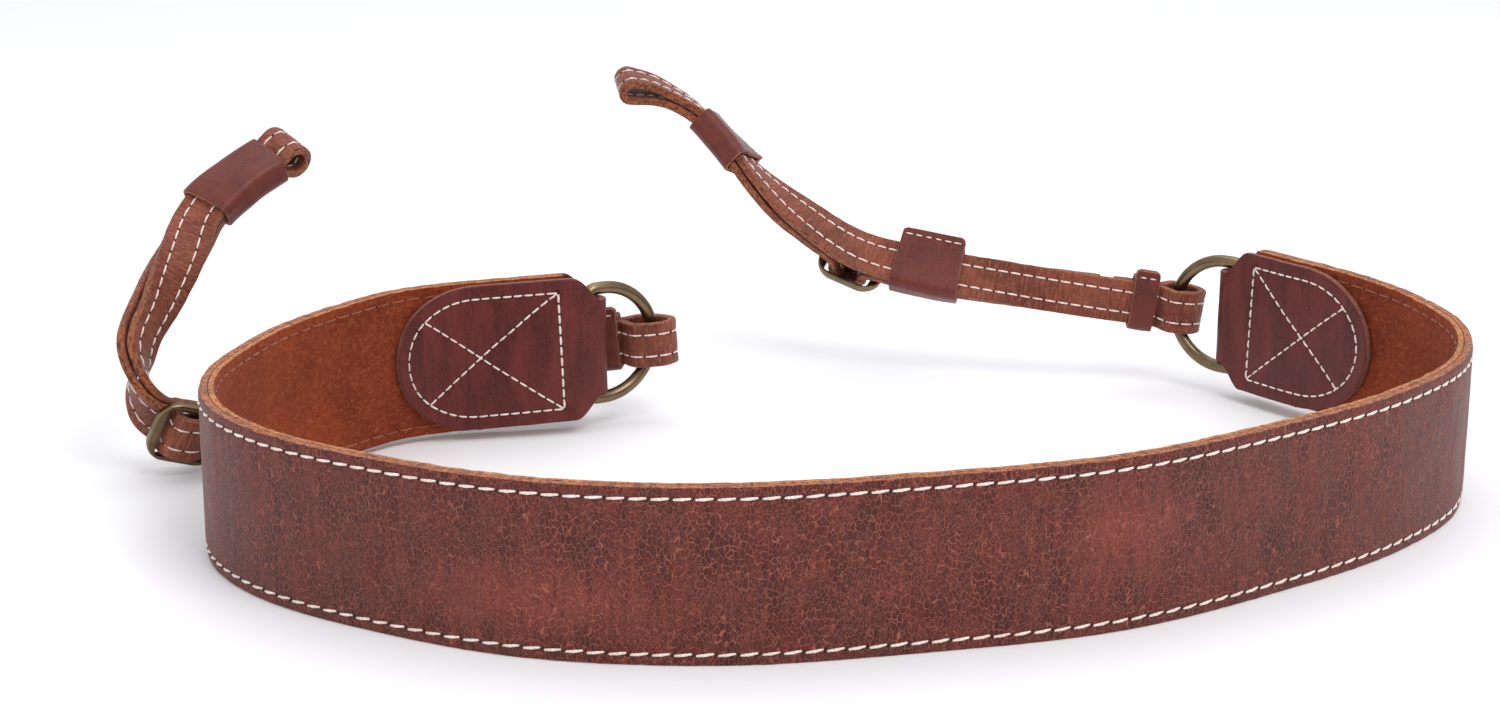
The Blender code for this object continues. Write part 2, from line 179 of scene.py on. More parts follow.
# The band's lower edge, from the left ring round the front to the right ring.
# Columns: the place's name where it has one, x, y, height of the edge, outward lean of the wall in degrees
BAND_ROWS = (
    ("left ring", -25.3, 41.4, 3.2, 0),
    ("left bar", -41.5, 30.7, 3.2, 1),
    ("left end", -46.4, 28.5, 3.2, 2),
    (-59, 25.7, 2.7, 3),
    (-69, 23.9, 2.3, 3),
    (-79, 21.3, 2, 2),
    (-88.7, 17, 1.7, 1),
    (-103.3, 1.5, 1.2, 0),
    (-111.4, -11, 0.8, 0),
    (-117.6, -27, 0.4, 0),
    (-121.8, -48, 0, 0),
    (-117.5, -71, 0, 0),
    (-103.5, -91, 0, 0),
    (-80, -108, 0, 0),
    (-46, -123.7, 0, 0),
    (-6, -128.2, 0, 0),
    (35, -121.3, 0, 0),
    (77, -109, 0, 0),
    (114, -86, 0, 0),
    (144.5, -61, 0, 0),
    (163.6, -35, 0, 0),
    (169.2, -11, 1, 0),
    (163.8, 12, 2, 0),
    (151.5, 31, 3, 1),
    (139.6, 45.5, 3, 2),
    ("right end", 132.4, 55.2, 3, 2),
    ("right bar", 129.4, 58.6, 3, 1),
    ("right ring", 114, 70.4, 3, 0),
)

# The narrow straps, from the D ring's wire to the lug loop, at the middle of their width.
# Columns: the name, x, y, z, turn of the width from facing the front in degrees: at 90 it stands upright
LEFT_ROWS = (
    ("ring", -25.2, 41.4, 20.6, 90),
    ("ring keeper", -36.5, 43.2, 19.8, 90),
    (-60, 40.5, 16.5, 90),
    (-85, 31, 12.5, 90),
    ("tail keeper", -109, 17, 9.2, 88),
    (-124, 6.2, 8.4, 86),
    ("slider", -138.4, -2.8, 11.8, 80),
    (-144.4, -5.6, 15, 72),
    (-147, -6.4, 20, 40),
    (-148.2, -5.4, 26.2, 4),
    (-148.2, -2.2, 32.6, -26),
    (-144.2, 5.5, 41.4, -50),
    (-139.6, 13.8, 50.8, -86),
    (-135.2, 22, 59.4, -124),
    ("lug keeper", -128, 28.6, 65.2, -143),
    (-120.6, 34.3, 69.6, -145),
    ("lug", -115, 38.8, 72, -146),
)

RIGHT_ROWS = (
    ("ring", 114, 70.2, 21.8, 87),
    ("ring keeper", 105.8, 70.8, 22.9, 87),
    (93.9, 71.5, 24.4, 92),
    (75.3, 74.5, 26.3, 105),
    ("tail keeper", 48.1, 79.5, 29.6, 123),
    ("slider", 28.8, 85, 33.5, 134),
    (13.7, 92, 41.7, 148),
    (2.7, 98.5, 49.8, 170),
    ("lug keeper", -7.6, 106, 59.6, 186),
    (-16.2, 110.3, 67.6, 184),
    (-26, 110.5, 73, 176),
    ("lug", -35.6, 108.4, 75.2, 168),
)

# How a narrow strap is fitted. facing: on which side of the run it goes out to the lug loop;
# ring_fold, ring_opening: how far its loop reaches behind the wire and half the loop's height;
# ring_close: from where to where that loop closes; ring_keeper: from and to; lug_keeper: its length;
# lug_opening: half the lug loop's height; lug_close: how long that loop takes to close;
# slack: how far the returning layer stands off
Fitting = namedtuple("Fitting", "rows facing ring_fold ring_opening ring_close ring_keeper lug_keeper "
                                "lug_opening lug_close slack")
STRAPS = {
    "left": Fitting(LEFT_ROWS, 1, 5.4, 4.8, (3.2, 8.2), (8.5, 16.0), 21.0, 3.4, 5.0, 0.8),
    "right": Fitting(RIGHT_ROWS, -1, 6.3, 4.6, (0.8, 5.2), (5.6, 12.1), 17.0, 2.4, 14.0, 0.4),
}

# Soft boxes: name, place and aim in metres, side in metres and power in watts; the white room's light
SOFT_BOXES = (
    ("Key soft box", (0.45, -0.6, 1.0), (0, 0, 0), 0.6, 6.0),
    ("Top soft box", (0.0, 0.4, 1.2), (0, 0, 0), 1.0, 4.0),
    ("Fill soft box", (-0.9, -0.7, 0.5), (0, 0, 0.03), 0.7, 0.6),
)
ROOM_LIGHT = 0.78


# ---- The runs and the lays ----

def unit(vectors):
    return vectors / np.linalg.norm(vectors, axis=-1, keepdims=True)


def between(places, marks, table):
    """A table's columns at the places, read between its marks."""
    return np.stack([np.interp(places, marks, column) for column in table.T], -1)


def measure(points):
    """How far along a line each of its points lies."""
    return np.concatenate(((0.0,), np.cumsum(np.linalg.norm(np.diff(points, axis=0), axis=1))))


class Run:
    """A smooth line through a table's rows, with the directions along, through and across it."""

    STEP = 0.5
    SOFTEN = 4

    def __init__(self, rows, facing, rise=0.0):
        """Follow the rows' x, y, z; their turn is the width's, about the run, from facing.

        rise moves the line along the turned width.
        """
        knots = np.array([row[-4:] for row in rows]) - (*ORIGIN, 0.0)
        knots = np.vstack((2 * knots[0] - knots[1], knots, 2 * knots[-1] - knots[-2]))
        spans = [self._span(*knots[i:i + 4]) for i in range(len(rows) - 1)]
        marks = np.cumsum([0] + [len(span) for span in spans])
        line = np.vstack(spans + [knots[-2:-1]])
        points, turns = line[:, :3], self._soften(line[:, 3])
        self.length = measure(points)
        self.places = {row[0]: self.length[mark] for row, mark in zip(rows, marks) if len(row) > 4}
        self.ahead = unit(self._soften(unit(np.gradient(points, self.length, axis=0))))
        unturned = unit(facing - self.ahead * (self.ahead @ facing)[:, None])
        angle = np.radians(turns)[:, None]
        self.width = unturned * np.cos(angle) + np.cross(self.ahead, unturned) * np.sin(angle)
        self.points = points + self.width * rise

    def _span(self, before, start, end, after):
        """Sample one arc of a centripetal Catmull-Rom line."""
        first, middle, last = (np.linalg.norm((b - a)[:3]) ** 0.5
                               for a, b in ((before, start), (start, end), (end, after)))
        leave = (start - before) / first - (end - before) / (first + middle) + (end - start) / middle
        arrive = (end - start) / middle - (after - start) / (middle + last) + (after - end) / last
        t = np.linspace(0, 1, max(3, round(middle**2 / self.STEP)), endpoint=False)[:, None]
        return (start * (2 * t**3 - 3 * t**2 + 1) + leave * middle * (t**3 - 2 * t**2 + t)
                + end * (3 * t**2 - 2 * t**3) + arrive * middle * (t**3 - t**2))

    def _soften(self, values):
        """Average neighbouring samples, so that the rows' corners don't show."""
        ends = values[:1].repeat(self.SOFTEN, 0), values[-1:].repeat(self.SOFTEN, 0)
        padded = np.concatenate((ends[0], values, ends[1]))
        width = 2 * self.SOFTEN + 1
        return sum(padded[i:i + len(values)] for i in range(width)) / width

    def frame(self, s):
        """Return the middle points at s and the unit directions along, through and across."""
        s = np.atleast_1d(s)
        point, ahead, width = (between(s, self.length, t) for t in (self.points, self.ahead, self.width))
        point = point + unit(ahead) * (s - np.clip(s, 0.0, self.length[-1]))[:, None]
        return point, unit(ahead), unit(np.cross(ahead, width)), unit(width)

    def at(self, s, n, w):
        """Return the points at s along, n through and w across, in metres."""
        point, _, through, width = self.frame(s)
        return (point + through * np.reshape(n, (-1, 1)) + width * np.reshape(w, (-1, 1))) * MM


class Lay:
    """How a flat piece is laid on a run: its middle surface as a line of (s, n) points."""

    def __init__(self, run, line, grain=1):
        """grain is 1 where the grain side is on the line's left, or else -1."""
        line = np.array(line)
        fresh = np.diff(measure(line), prepend=-1.0) > 0.01
        self.run, self.line, self.grain = run, line[fresh], grain
        self.marks = measure(self.line)
        self.length = self.marks[-1]
        self.slope = unit(np.gradient(self.line, self.marks, axis=0))

    def spot(self, a):
        """Return the line's point and its slopes at a along the piece."""
        s, n = between(a, self.marks, self.line).T
        past = a - np.clip(a, 0.0, self.length)
        slope_s, slope_n = unit(between(a, self.marks, self.slope)).T
        return s + slope_s * past, n + slope_n * past, slope_s, slope_n

    def place(self, a, w, h):
        """Return the points at a along the piece, w across it and h up from its middle."""
        s, n, slope_s, slope_n = self.spot(a)
        h = h * self.grain
        return self.run.at(s - slope_n * h, n + slope_s * h, w)


class Sleeve(Lay):
    """How a flat piece is wrapped round a run: its middle surface as a line of (w, n) points."""

    def __init__(self, run, line, middle):
        super().__init__(run, line)
        self.middle = middle

    def place(self, a, w, h):
        """Return the points at a round the girth, w along the run and h up from the middle."""
        across, n, slope_w, slope_n = self.spot(a)
        return self.run.at(self.middle + w, n + slope_w * h, across - slope_n * h)


def arc(centre, radii, start, end, steps):
    """Points on an ellipse from one angle to another, in degrees."""
    angles = np.radians(np.linspace(start, end, steps + 1))
    return [(centre[0] + radii[0] * math.cos(a), centre[1] + radii[1] * math.sin(a)) for a in angles]


def level(start, end, n, spacing=1.0):
    """Points of a level stretch, without the last one."""
    steps = max(1, round(abs(end - start) / spacing))
    return [(start + (end - start) * i / steps, n) for i in range(steps)]


def smooth(t):
    return t * t * (3 - 2 * t)


def ease(start, end, n_start, n_end, steps=12):
    """Points of a slope that leaves and arrives level, without the last one."""
    return [(start + (end - start) * i / steps, n_start + (n_end - n_start) * smooth(i / steps))
            for i in range(steps)]


# ---- Materials ----

def linear(hex_colour):
    """Turn an sRGB hex colour into linear red, green, blue and alpha."""
    parts = [int(hex_colour[i:i + 2], 16) / 255 for i in (1, 3, 5)]
    return [p / 12.92 if p <= 0.04045 else ((p + 0.055) / 1.055) ** 2.4 for p in parts] + [1.0]


def set_socket(socket, value):
    """Set a socket's own value; a hex colour is turned to linear."""
    socket.default_value = linear(value) if isinstance(value, str) else value


def node(tree, kind, inputs=(), out=0, **settings):
    """Add a shader node with its settings and links, and return one of its outputs.

    The inputs are given by name or number, or as the first ones in their order.
    """
    made = tree.nodes.new("ShaderNode" + kind)
    for name, value in settings.items():
        setattr(made, name, value)
    for socket, value in inputs.items() if isinstance(inputs, dict) else enumerate(inputs):
        if isinstance(value, bpy.types.NodeSocket):
            tree.links.new(value, made.inputs[socket])
        else:
            set_socket(made.inputs[socket], value)
    return made.outputs[out]


def new_material(name, sockets):
    """Return a material, its tree and its shader, whose own sockets are set."""
    made = bpy.data.materials.new(name)
    made.use_nodes = True
    shader = made.node_tree.nodes["Principled BSDF"]
    for socket, value in sockets.items():
        set_socket(shader.inputs[socket], value)
    return made, made.node_tree, shader


def flat_mm(tree, stretch=(1.0, 1.0, 1.0)):
    """The piece's flat coordinates in millimetres, divided by stretch."""
    flat = node(tree, "Attribute", out="Vector", attribute_name="flat")
    scale = [1 / (MM * s) for s in stretch]
    return node(tree, "VectorMath", (flat, scale), operation="MULTIPLY")


def dye(tree, shader, ground, layers):
    """Colour a surface in layers over its ground colour: dyes, and in some materials painted shade and
    painted highlights.

    Each layer has its colour, its mask, the mask's values where the dye starts and where it is full,
    and how strong it is there.
    """
    for colour, mask, start, full, strength in layers:
        shows = node(tree, "MapRange", (mask, start, full, 0.0, strength))
        ground = node(tree, "Mix", {0: shows, 6: ground, 7: colour}, 2, data_type="RGBA")
    tree.links.new(ground, shader.inputs["Base Color"])


def raise_relief(tree, shader, layers):
    """Raise a surface by layers of a height from 0 to 1 and its depth in millimetres, the coarsest first."""
    normal = None
    for height, depth in layers:
        under = {"Normal": normal} if normal else {}
        normal = node(tree, "Bump", {"Height": height, "Distance": depth * MM, "Strength": 1.0, **under})
    tree.links.new(normal, shader.inputs["Normal"])


def highlight_patch(tree, centre, reach):
    """How far a point is from a painted highlight's middle: 1 at its reach along or across."""
    place = flat_mm(tree, (*reach, 1e6))
    middle = (centre[0] / reach[0], centre[1] / reach[1], 0.0)
    return node(tree, "VectorMath", (place, middle), "Value", operation="DISTANCE")


def grain_leather(name, colours, cell, stretch, rough, pebble, crease, sheen, coat, vein, patch, painted_highlights=()):
    """Chrome tanned cowhide with its grain: pebbles between fine veins, creased and dyed unevenly, with
    painted shade in the crease troughs.

    colours: the deep, middle and light dye and the veins'. cell: a pebble's width. pebble: its height.
    crease: a crease's width along, its length across, its depth and how light its crests are.
    vein: how much the veins show, about a tenth of a millimetre wide. patch: how far the dye drifts along
    and across. painted_highlights: middles and reaches of lighter patches, which are painted highlights. All
    lengths are in millimetres.
    """
    made, tree, shader = new_material(name, {
        "IOR": 1.46, "Specular IOR Level": 0.3, "Sheen Weight": sheen, "Sheen Roughness": 0.3,
        "Sheen Tint": "#e6bdbd", "Coat Weight": coat, "Coat Roughness": 0.3})
    deep, middle, light, veins = colours
    place = flat_mm(tree, stretch)
    wander = node(tree, "TexNoise", {"Vector": place, "Scale": 0.45 / cell}, "Color")
    wander = node(tree, "VectorMath", (wander, (cell * 0.9,) * 3), operation="MULTIPLY")
    bent = node(tree, "VectorMath", (place, wander), operation="ADD")
    pebbles, small = (node(tree, "TexVoronoi", {"Vector": bent, "Scale": finer / cell},
                           feature="DISTANCE_TO_EDGE") for finer in (1.0, 2.1))
    milled, cloud, pores = (
        node(tree, "TexNoise", {"Vector": place, "Scale": scale, "Detail": detail, "Roughness": coarse})
        for scale, detail, coarse in ((0.125 / cell, 3.0, 0.6), (0.45, 4.0, 0.7), (3.3, 3.0, 0.7)))
    creases, drift = (
        node(tree, "TexNoise", {"Vector": flat_mm(tree, reach), "Scale": 1.0, "Detail": detail,
                                "Roughness": coarse, "Distortion": bend})
        for reach, detail, coarse, bend in (((*crease[:2], 10.0), 4.0, 0.65, 0.5),
                                            ((*patch, 1.0), 3.0, 0.55, 0.3)))
    network = 0.0
    for net, width, faint, full, least, most in ((pebbles, 0.07, 0.36, 0.52, 0.45, 1.0),
                                                 (small, 0.09, 0.58, 0.42, 0.1, 0.7)):
        line = node(tree, "MapRange", (net, 0.01, width, 1.0, 0.0))
        here = node(tree, "MapRange", (milled, faint, full, least, most))
        line = node(tree, "Math", (line, here), operation="MULTIPLY")
        network = node(tree, "Math", (line, network), operation="MAXIMUM")
    # Lighter patches at the given places: painted highlights.
    wear_and_highlights = [(light, highlight_patch(tree, *spot), 1.0, 0.15, 0.85) for spot in painted_highlights]
    dye(tree, shader, deep, [
        (middle, drift, 0.38, 0.6, 1.0), *wear_and_highlights,
        (light, cloud, 0.5, 0.75, 0.2),
        # The crease troughs are darkened: painted shade.
        (deep, creases, 0.46, 0.34, 0.7),
        (light, creases, 0.5, 0.66, crease[3]),
        (deep, pores, 0.46, 0.3, 0.3),
        (veins, network, 0.0, 1.0, vein)])
    furrow = node(tree, "MapRange", (pebbles, 0.0, 0.16))
    shallow = node(tree, "MapRange", (small, 0.0, 0.2))
    satin = node(tree, "MapRange", (drift, 0.3, 0.7, *rough))
    dull = node(tree, "MapRange", (furrow, 0.0, 1.0, 0.12, 0.0))
    tree.links.new(node(tree, "Math", (satin, dull), operation="ADD"), shader.inputs["Roughness"])
    raise_relief(tree, shader, [(creases, crease[2]), (furrow, pebble), (shallow, pebble * 0.5),
                                (pores, 0.05)])
    return made


def band_leather():
    """Waxed pull-up cowhide, milled: satin pebbles whose veins pull up lighter, mauve at the bends, with two
    lighter patches that are painted highlights.
    """
    return grain_leather("Waxed pull-up cowhide, milled", ("#401414", "#581d1b", "#86392e", "#aa6350"),
                         cell=0.95, stretch=(1.0, 1.9, 1.0), rough=(0.34, 0.46), pebble=0.16,
                         crease=(1.3, 9.0, 0.22, 0.5), sheen=0.04, coat=0.05, vein=0.85, patch=(9.0, 26.0),
                         # The two lighter patches on the front are painted highlights.
                         painted_highlights=(((360.0, 4.0), (18.0, 14.0)), ((236.0, -6.0), (34.0, 10.0))))


def tab_leather():
    """Plated calf, maroon: an even dark satin, with hardly a vein and faint upright streaks."""
    return grain_leather("Plated calf, maroon", ("#4c1816", "#662523", "#7a342d", "#854838"),
                         cell=1.1, stretch=(0.8, 1.6, 1.0), rough=(0.32, 0.42), pebble=0.06,
                         crease=(1.0, 7.0, 0.14, 0.15), sheen=0.04, coat=0.08, vein=0.22, patch=(5.0, 20.0))


def strap_leather():
    """Oiled latigo side: a lighter red brown with fine pale creases across it."""
    return grain_leather("Oiled latigo side leather", ("#6a2c1e", "#8f4834", "#b67055", "#c6846a"),
                         cell=0.8, stretch=(0.6, 2.0, 1.0), rough=(0.36, 0.48), pebble=0.1,
                         crease=(0.55, 4.5, 0.4, 0.6), sheen=0.04, coat=0.08, vein=0.35, patch=(14.0, 12.0))


def keeper_leather():
    """Glazed kip: smooth red brown, a little darker in places, with a broad soft shine."""
    return grain_leather("Glazed kip", ("#571d15", "#69291e", "#87402e", "#854636"),
                         cell=0.8, stretch=(1.0, 1.0, 1.0), rough=(0.24, 0.32), pebble=0.04,
                         crease=(6.0, 2.0, 0.12, 0.15), sheen=0.02, coat=0.2, vein=0.12, patch=(9.0, 12.0))


def suede():
    """Split suede, brushed: a matt rust nap that drifts in tone, drawn coarse so that it shows."""
    made, tree, shader = new_material("Split suede, brushed", {
        "Roughness": 0.95, "Specular IOR Level": 0.2, "Sheen Weight": 0.15, "Sheen Roughness": 0.6,
        "Sheen Tint": "#d98e6a"})
    place = flat_mm(tree)
    drift = node(tree, "TexNoise", {"Vector": place, "Scale": 0.04, "Detail": 3.0, "Roughness": 0.6})
    nap = node(tree, "TexNoise", {"Vector": flat_mm(tree, (1.2, 0.84, 1.2)), "Scale": 1.0, "Detail": 4.0,
                                  "Roughness": 0.75, "Distortion": 0.5})
    fuzz = node(tree, "TexNoise", {"Vector": place, "Scale": 3.3})
    dye(tree, shader, "#682616", [
        ("#8a3b20", drift, 0.3, 0.7, 1.0),
        ("#b0623c", nap, 0.5, 0.76, 0.7),
        ("#43180f", nap, 0.46, 0.26, 0.75)])
    raise_relief(tree, shader, [(nap, 0.16), (fuzz, 0.06)])
    return made


def raw_edge(name, pale, tan, dark):
    """Cut edge of vegetable tanned leather, undyed: rough tan fibres with dark specks.

    Real fibres are a tenth of a millimetre thick, and they are drawn in tufts, so that they show.
    """
    made, tree, shader = new_material(name, {"Roughness": 0.85, "Sheen Weight": 0.2})
    fibres = node(tree, "TexNoise", {"Vector": flat_mm(tree, (1.2, 0.9, 0.7)), "Scale": 1.3, "Detail": 4.0,
                                     "Roughness": 0.75, "Distortion": 0.6})
    drift = node(tree, "TexNoise", {"Vector": flat_mm(tree), "Scale": 0.11, "Detail": 3.0})
    dye(tree, shader, tan, [
        (pale, fibres, 0.46, 0.56, 1.0),
        (dark, fibres, 0.48, 0.4, 0.95),
        (dark, drift, 0.5, 0.78, 0.35)])
    raise_relief(tree, shader, [(fibres, 0.6)])
    return made


def waxed_thread(name, pale, wear_and_highlights, painted_hollow_shade):
    """Waxed polyester thread, braided: a twist of light strands, with painted shade in the hollows between
    them.
    """
    made, tree, shader = new_material(name, {"Roughness": 0.6, "Sheen Weight": 0.3})
    place = flat_mm(tree)
    twist = node(tree, "TexWave", {"Vector": place, "Scale": 0.55, "Distortion": 0.4}, "Fac",
                 bands_direction="DIAGONAL")
    wear = node(tree, "TexNoise", {"Vector": place, "Scale": 0.14})
    # The hollows between the strands are darkened: painted shade.
    dye(tree, shader, wear_and_highlights, [(pale, wear, 0.35, 0.65, 1.0), (painted_hollow_shade, twist, 0.3, 0.0, 0.35)])
    raise_relief(tree, shader, [(twist, 0.05)])
    return made


def slit_shade_material():
    """Painted shade in the slit pricked by the awl: a near black red brown, a little uneven."""
    made, tree, shader = new_material("Painted shade in the awl's slit", {"Roughness": 0.7})
    wax = node(tree, "TexNoise", {"Vector": flat_mm(tree), "Scale": 1.5})
    dye(tree, shader, "#240b09", [("#3a1611", wax, 0.4, 0.65, 1.0)])
    raise_relief(tree, shader, [(wax, 0.05)])
    return made


def antique_brass():
    """Cast brass, blackened and rubbed: olive brown in the hollows, bright where hands rub it."""
    made, tree, shader = new_material("Antique brass, rubbed", {"Metallic": 1.0})
    place = node(tree, "TexCoord", out="Object")
    place = node(tree, "VectorMath", (place, (1 / MM,) * 3), operation="MULTIPLY")
    cloud = node(tree, "TexNoise", {"Vector": place, "Scale": 0.25, "Detail": 4.0, "Roughness": 0.65})
    pits = node(tree, "TexNoise", {"Vector": place, "Scale": 1.4, "Detail": 3.0, "Roughness": 0.7})
    corners = node(tree, "NewGeometry", out="Pointiness")
    dye(tree, shader, "#352b23", [
        ("#655440", cloud, 0.35, 0.65, 1.0),
        ("#bba27d", corners, 0.5, 0.56, 0.5)])
    tree.links.new(node(tree, "MapRange", (cloud, 0.3, 0.7, 0.22, 0.36)), shader.inputs["Roughness"])
    raise_relief(tree, shader, [(pits, 0.02)])
    return made


def seamless_paper():
    """Matt white paper, the sweep that the strap lies on."""
    return new_material("Seamless paper", {"Base Color": "#fdfdff", "Roughness": 0.55})[0]


# ---- Modelling ----

def deselect():
    """Deselect every object."""
    for thing in bpy.context.selected_objects:
        thing.select_set(False)


def pick(piece):
    """Select a piece alone and make it active."""
    deselect()
    piece.select_set(True)
    bpy.context.view_layer.objects.active = piece


def open_all(piece):
    """Open a piece alone in edit mode, with all of it selected."""
    pick(piece)
    bpy.ops.object.mode_set(mode="EDIT")
    bpy.ops.mesh.select_all(action="SELECT")


def shut():
    """Leave edit mode."""
    bpy.ops.object.mode_set(mode="OBJECT")


def break_edge(piece, width, angle=60):
    """Break the edges that are sharper than an angle in degrees."""
    broken = piece.modifiers.new("Broken edge", "BEVEL")
    broken.width = width * MM
    broken.segments = 3
    broken.limit_method = "ANGLE"
    broken.angle_limit = math.radians(angle)


def apply_modifiers(piece):
    """Apply all of a piece's modifiers, in order."""
    pick(piece)
    for modifier in list(piece.modifiers):
        bpy.ops.object.modifier_apply(modifier=modifier.name)


def read_places(mesh):
    places = np.empty(len(mesh.vertices) * 3)
    mesh.vertices.foreach_get("co", places)
    return places.reshape(-1, 3)


def write_places(mesh, places):
    mesh.vertices.foreach_set("co", np.ascontiguousarray(places, dtype=np.float64).ravel())
    mesh.update()


def remember_flat(piece):
    """Keep the piece's flat coordinates for its materials, and return them in millimetres."""
    flat = read_places(piece.data)
    kept = piece.data.attributes.new("flat", "FLOAT_VECTOR", "POINT")
    kept.data.foreach_set("vector", flat.ravel())
    return flat / MM


def dress(piece, *materials):
    """Give a piece its materials: the skin first, then the cut edge."""
    piece.data.materials.clear()
    for material in materials:
        piece.data.materials.append(material)


def finish_piece(piece, name, stands_for=None):
    """Name a piece and hang it on the frame, in place of the CAD node that it stands for."""
    piece.name = name
    piece.data.name = name
    pick(piece)
    bpy.ops.object.shade_smooth_by_angle(angle=math.radians(50))
    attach(piece, "root")
    if stands_for:
        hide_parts(stands_for)


def wobble(places, uneven):
    """How far the leather wanders at each place."""
    reach, size, seed = uneven
    offset = Vector((seed * 17.3, seed * 5.1, seed * 9.7))
    return reach * np.array([noise.noise(Vector(place) / size + offset) for place in places])


def fray_rims(flat, half, reach, uneven):
    """Make a strip's long edges uneven; return how near each point is to them, from 0 to 1."""
    near = np.exp(-((half - np.abs(flat[:, 1])) / reach) ** 2)
    flat[:, 1] += np.sign(flat[:, 1]) * near * wobble(flat, uneven)
    return near


def cut_strip(rows, half_widths, columns, leather, edge, materials):
    """Cut a flat strip in X and Y: its rows' places along it, half its width at each or at all.

    The rim's faces take the second material.
    """
    deselect()
    bpy.ops.mesh.primitive_grid_add(x_subdivisions=len(rows) - 1, y_subdivisions=columns, size=2)
    strip = bpy.context.object
    dress(strip, *materials)
    grid = read_places(strip.data)
    row = np.rint((grid[:, 0] + 1) / 2 * (len(rows) - 1)).astype(int)
    half_widths = np.broadcast_to(half_widths, len(rows))
    places = np.stack((rows[row], grid[:, 1] * half_widths[row], grid[:, 2]), -1)
    write_places(strip.data, places * MM)
    thick = strip.modifiers.new("Leather", "SOLIDIFY")
    thick.thickness = leather * MM
    thick.offset = 0.0
    thick.material_offset_rim = 1
    break_edge(strip, edge)
    apply_modifiers(strip)
    return strip


def cut_panel(outline, leather, edge, slices_along, slices_across, materials):
    """Cut a flat panel from an outline and slice it, so that it can be bent and pressed."""
    deselect()
    bpy.ops.mesh.primitive_circle_add(vertices=len(outline), radius=1, fill_type="NGON")
    panel = bpy.context.object
    write_places(panel.data, np.pad(outline, ((0, 0), (0, 1))) * MM)
    open_all(panel)
    bpy.ops.mesh.extrude_region_move(TRANSFORM_OT_translate={"value": (0, 0, leather * MM)})
    bpy.ops.mesh.select_all(action="SELECT")
    bpy.ops.mesh.normals_make_consistent(inside=False)
    bpy.ops.transform.translate(value=(0, 0, -leather / 2 * MM))
    shut()
    dress(panel, *materials)
    break_edge(panel, edge)
    apply_modifiers(panel)
    bpy.ops.object.mode_set(mode="EDIT")
    for places, axis in ((slices_along, (1, 0, 0)), (slices_across, (0, 1, 0))):
        for place in places:
            bpy.ops.mesh.select_all(action="SELECT")
            bpy.ops.mesh.bisect(plane_co=Vector(axis) * place * MM, plane_no=axis, threshold=0.00002)
    shut()
    for face in panel.data.polygons:
        face.material_index = 1 if abs(face.normal.z) < 0.5 else 0
    return panel


def sewn_path(corners, spacing=0.4):
    """Sample a path of (along, across) corners finely; return its points, lengths and directions."""
    corners = np.array(corners, float)
    marks = measure(corners)
    lengths = np.linspace(0, marks[-1], max(2, round(marks[-1] / spacing)))
    points = between(lengths, marks, corners)
    return points, lengths, unit(np.gradient(points, lengths, axis=0))


def edge_rows(length, inset):
    """The two rows of sewing along a strip's edges."""
    return [((STRIP_END, w), (length - STRIP_END, w)) for w in (inset, -inset)]


def press_seam(flat, corners, pitch, both_sides=True, depth=SEAM_PRESS):
    """Press a seam's channel into a flat piece, deepest where the thread goes through."""
    points, lengths, _ = sewn_path(corners)
    low, high = points.min(0) - 3 * SEAM_REACH, points.max(0) + 3 * SEAM_REACH
    near = np.flatnonzero(np.all((flat[:, :2] > low) & (flat[:, :2] < high), axis=1))
    if not both_sides:
        near = near[flat[near, 2] > 0]
    for part in np.array_split(near, max(1, len(near) // 2000)):
        away = np.linalg.norm(flat[part, None, :2] - points[None], axis=2)
        nearest = away.argmin(1)
        phase = np.cos(2 * math.pi * lengths[nearest] / pitch)
        push = depth * np.exp(-(away.min(1) / SEAM_REACH) ** 2) * (0.75 + 0.25 * phase)
        flat[part, 2] -= np.sign(flat[part, 2]) * push


def add_slit_shade(thread):
    """A dark flat shape across the start of its stitch: painted shade for the slit that the stitch comes up
    through.
    """
    deselect()
    bpy.ops.mesh.primitive_uv_sphere_add(segments=8, ring_count=4, radius=thread * MM)
    slit_shade = bpy.context.object
    long, wide, high = (read_places(slit_shade.data) * SLIT_SHAPE).T
    cos, sin = math.cos(math.radians(SLIT_TURN)), math.sin(math.radians(SLIT_TURN))
    places = np.stack((long * cos - wide * sin, long * sin + wide * cos, high), -1)
    write_places(slit_shade.data, places + (0, 0, SLIT_LIFT * MM))
    dress(slit_shade, SLIT_SHADE)
    return slit_shade


